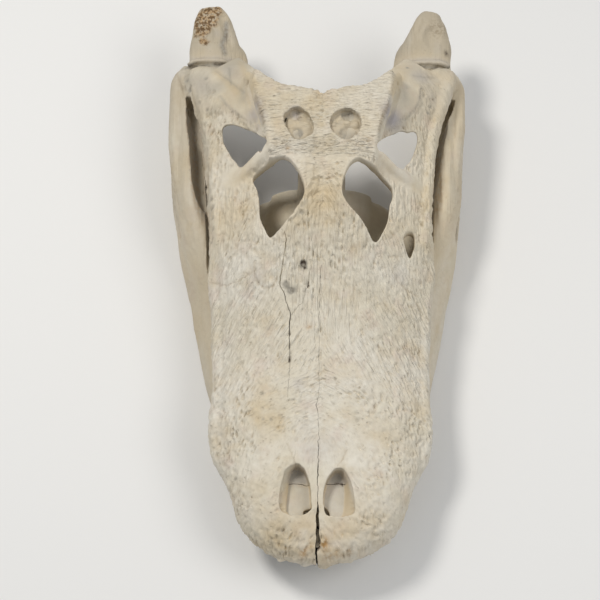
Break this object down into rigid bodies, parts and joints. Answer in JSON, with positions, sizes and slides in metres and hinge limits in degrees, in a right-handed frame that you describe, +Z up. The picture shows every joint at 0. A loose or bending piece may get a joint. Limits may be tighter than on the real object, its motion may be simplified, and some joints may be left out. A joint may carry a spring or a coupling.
{
  "type": "alligator skull",
  "caption": "Broad-snouted alligator skull lying with its lower jaw closed, with open eye sockets, side openings, paired nostrils and socketed conical teeth.",
  "frame": {"origin": "centre of the bounding box at the surface that the lower jaw lies on", "axes": "-Y towards the snout tip, +Y towards the back of the skull, +Z up, +X towards the animal's left; left and right in every name are the animal's own"},
  "size_m": [0.2792, 0.5276, 0.1552],
  "materials": {
    "bone": "matte, weathered",
    "jaw_bone": "matte, weathered",
    "teeth": "satin"
  },
  "bodies": {
    "root": {"cranium": "bone", "left_lower_jaw": "jaw_bone", "right_lower_jaw": "jaw_bone", "upper_left_tooth_01": "teeth", "upper_left_tooth_02": "teeth", "upper_left_tooth_03": "teeth", "upper_left_tooth_04": "teeth", "upper_left_tooth_05": "teeth", "upper_left_tooth_06": "teeth", "upper_left_tooth_07": "teeth", "upper_left_tooth_08": "teeth", "upper_left_tooth_09": "teeth", "upper_left_tooth_10": "teeth", "upper_left_tooth_11": "teeth", "upper_left_tooth_12": "teeth", "upper_left_tooth_13": "teeth", "upper_left_tooth_14": "teeth", "upper_left_tooth_15": "teeth", "upper_left_tooth_16": "teeth", "upper_left_tooth_17": "teeth", "upper_left_tooth_18": "teeth", "upper_left_tooth_19": "teeth", "upper_left_tooth_20": "teeth", "upper_right_tooth_01": "teeth", "upper_right_tooth_02": "teeth", "upper_right_tooth_03": "teeth", "upper_right_tooth_04": "teeth", "upper_right_tooth_05": "teeth", "upper_right_tooth_06": "teeth", "upper_right_tooth_07": "teeth", "upper_right_tooth_08": "teeth", "upper_right_tooth_09": "teeth", "upper_right_tooth_10": "teeth", "upper_right_tooth_11": "teeth", "upper_right_tooth_12": "teeth", "upper_right_tooth_13": "teeth", "upper_right_tooth_14": "teeth", "upper_right_tooth_15": "teeth", "upper_right_tooth_16": "teeth", "upper_right_tooth_17": "teeth", "upper_right_tooth_18": "teeth", "upper_right_tooth_19": "teeth", "upper_right_tooth_20": "teeth", "lower_left_tooth_01": "teeth", "lower_left_tooth_02": "teeth", "lower_left_tooth_04": "teeth", "lower_left_tooth_11": "teeth", "lower_left_tooth_12": "teeth", "lower_left_tooth_13": "teeth", "lower_left_tooth_14": "teeth", "lower_left_tooth_15": "teeth", "lower_right_tooth_01": "teeth", "lower_right_tooth_02": "teeth", "lower_right_tooth_04": "teeth", "lower_right_tooth_11": "teeth", "lower_right_tooth_12": "teeth", "lower_right_tooth_13": "teeth", "lower_right_tooth_14": "teeth", "lower_right_tooth_15": "teeth"}
  },
  "joints": []
}
